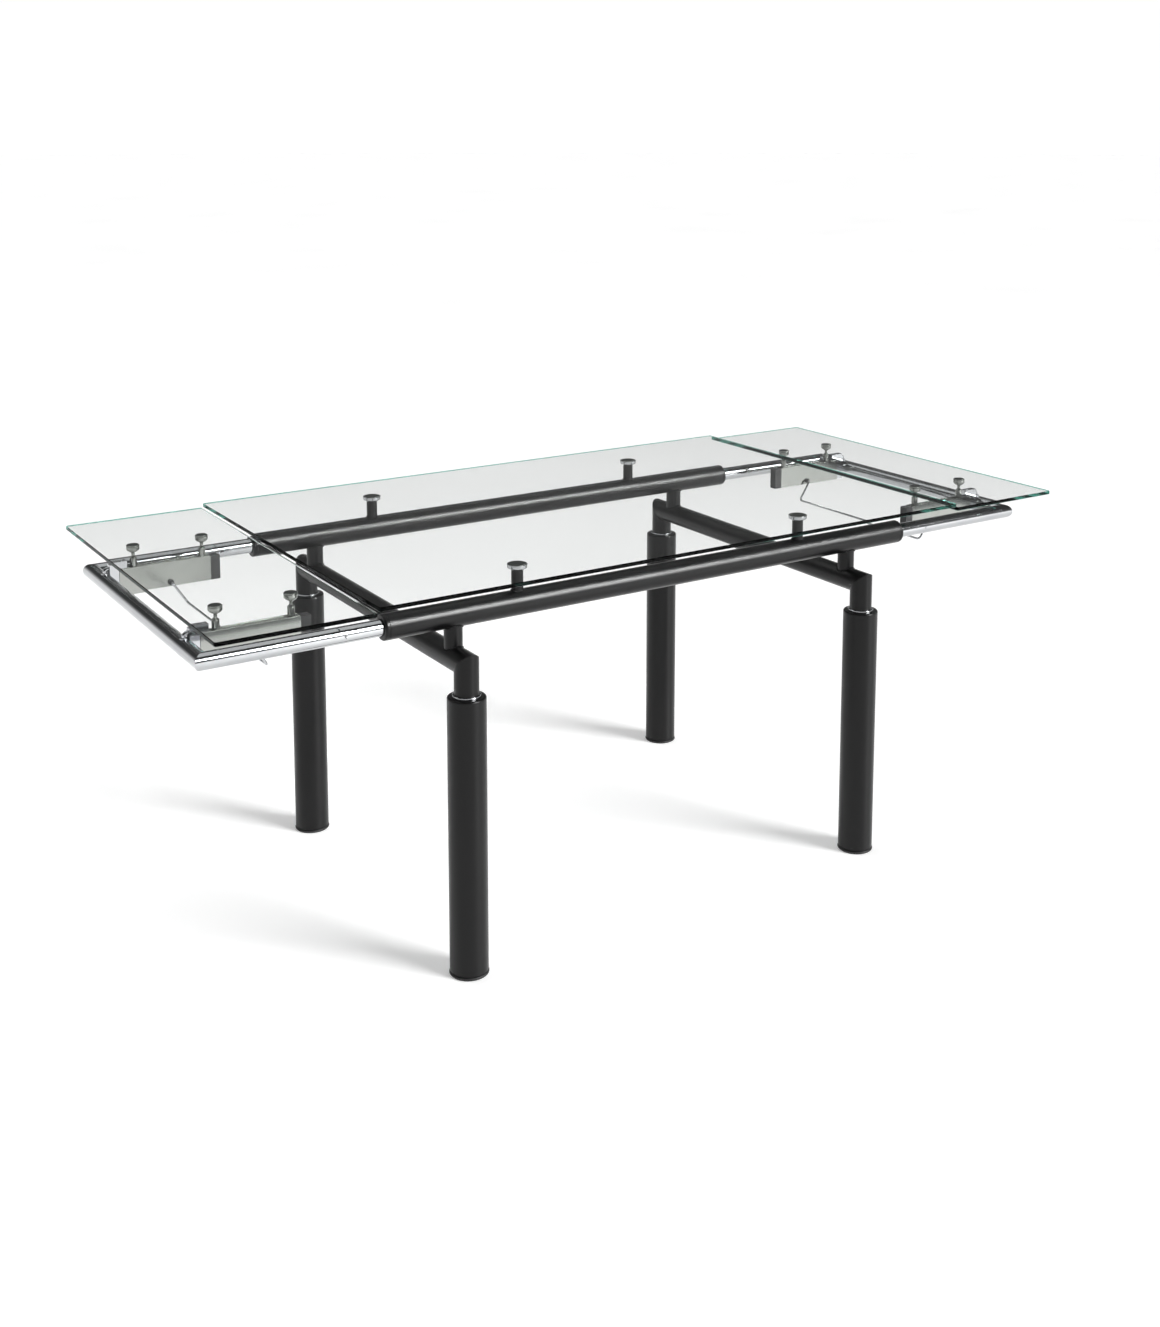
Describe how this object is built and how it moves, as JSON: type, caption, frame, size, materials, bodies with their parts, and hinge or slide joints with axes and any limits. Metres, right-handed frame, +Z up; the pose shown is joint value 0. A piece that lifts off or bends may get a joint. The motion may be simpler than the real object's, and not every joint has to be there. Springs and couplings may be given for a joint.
{
  "type": "extendable dining table",
  "caption": "Glass dining table on black tubular steel legs, with a draw-out glass leaf on chrome slides and a lift handle at each end.",
  "frame": {"origin": "on the floor, under the middle of the table with both leaves drawn out", "axes": "+X along the table's length, +Y across it, +Z up"},
  "size_m": [2, 0.9, 0.775],
  "materials": {
    "glass": "clear float glass, arrissed and polished edge",
    "black_paint": "satin black powder coat",
    "chrome": "bright chrome plate",
    "polished_steel": "polished steel strip",
    "plain_steel": "bright drawn steel",
    "black_plastic": "matt black moulded nylon"
  },
  "bodies": {
    "frame": {"crossbar_left": "black_paint", "crossbar_right": "black_paint", "foot_inserts": "plain_steel", "leg_caps": "black_paint", "leg_collars": "chrome", "leg_neck_left_far": "black_paint", "leg_neck_left_near": "black_paint", "leg_neck_right_far": "black_paint", "leg_neck_right_near": "black_paint", "leg_tube_left_far": "black_paint", "leg_tube_left_near": "black_paint", "leg_tube_right_far": "black_paint", "leg_tube_right_near": "black_paint", "middle_glass": "glass", "middle_pucks": "chrome", "middle_stems": "black_paint", "rail_bushes": "black_plastic", "rail_far": "black_paint", "rail_near": "black_paint", "rail_post_left_far": "black_paint", "rail_post_left_near": "black_paint", "rail_post_right_far": "black_paint", "rail_post_right_near": "black_paint"},
    "left_carriage": {"left_slide_rod_near": "chrome", "left_slide_rod_far": "chrome", "left_end_bar": "chrome", "left_rod_glides": "black_plastic", "left_housing_near": "polished_steel", "left_housing_far": "polished_steel", "left_housing_caps": "black_plastic", "left_end_blocks": "chrome", "left_stays": "chrome", "left_pivot_bushes": "black_plastic"},
    "left_leaf": {"left_leaf_glass": "glass", "left_leaf_pads": "chrome", "left_lift_pins": "polished_steel", "left_lift_bars": "plain_steel"},
    "left_lift_handle": {"left_handle": "chrome", "left_handle_cams": "plain_steel"},
    "left_near_foot": {"foot_left_near": "black_plastic"},
    "left_far_foot": {"foot_left_far": "black_plastic"},
    "right_carriage": {"right_slide_rod_near": "chrome", "right_slide_rod_far": "chrome", "right_end_bar": "chrome", "right_rod_glides": "black_plastic", "right_housing_near": "polished_steel", "right_housing_far": "polished_steel", "right_housing_caps": "black_plastic", "right_end_blocks": "chrome", "right_stays": "chrome", "right_pivot_bushes": "black_plastic"},
    "right_leaf": {"right_leaf_glass": "glass", "right_leaf_pads": "chrome", "right_lift_pins": "polished_steel", "right_lift_bars": "plain_steel"},
    "right_lift_handle": {"right_handle": "chrome", "right_handle_cams": "plain_steel"},
    "right_near_foot": {"foot_right_near": "black_plastic"},
    "right_far_foot": {"foot_right_far": "black_plastic"}
  },
  "joints": [
    {"name": "left_slide", "type": "slide", "parent": "frame", "child": "left_carriage", "axis": [-1, 0, 0], "range_m": [-0.3, 0]},
    {"name": "left_lift", "type": "slide", "parent": "left_carriage", "child": "left_leaf", "axis": [0, 0, 1], "range_m": [0, 0.009]},
    {"name": "left_handle_turn", "type": "hinge", "parent": "left_carriage", "child": "left_lift_handle", "pos_m": [-0.85, 0, 0.671], "axis": [0, 1, 0], "range_deg": [0, 58]},
    {"name": "left_near_foot_turn", "type": "hinge", "parent": "frame", "child": "left_near_foot", "pos_m": [-0.4905, -0.376, 0.02], "axis": [0, 0, 1], "continuous": true},
    {"name": "left_far_foot_turn", "type": "hinge", "parent": "frame", "child": "left_far_foot", "pos_m": [-0.4905, 0.376, 0.02], "axis": [0, 0, 1], "continuous": true},
    {"name": "right_slide", "type": "slide", "parent": "frame", "child": "right_carriage", "axis": [1, 0, 0], "range_m": [-0.3, 0]},
    {"name": "right_lift", "type": "slide", "parent": "right_carriage", "child": "right_leaf", "axis": [0, 0, 1], "range_m": [0, 0.009]},
    {"name": "right_handle_turn", "type": "hinge", "parent": "right_carriage", "child": "right_lift_handle", "pos_m": [0.85, 0, 0.671], "axis": [0, -1, 0], "range_deg": [0, 58]},
    {"name": "right_near_foot_turn", "type": "hinge", "parent": "frame", "child": "right_near_foot", "pos_m": [0.4905, -0.376, 0.02], "axis": [0, 0, 1], "continuous": true},
    {"name": "right_far_foot_turn", "type": "hinge", "parent": "frame", "child": "right_far_foot", "pos_m": [0.4905, 0.376, 0.02], "axis": [0, 0, 1], "continuous": true}
  ],
  "couplings": [
    {"joint": "left_handle_turn", "follows": "left_lift", "rad_per_m": 111.44},
    {"joint": "right_handle_turn", "follows": "right_lift", "rad_per_m": 111.44}
  ]
}
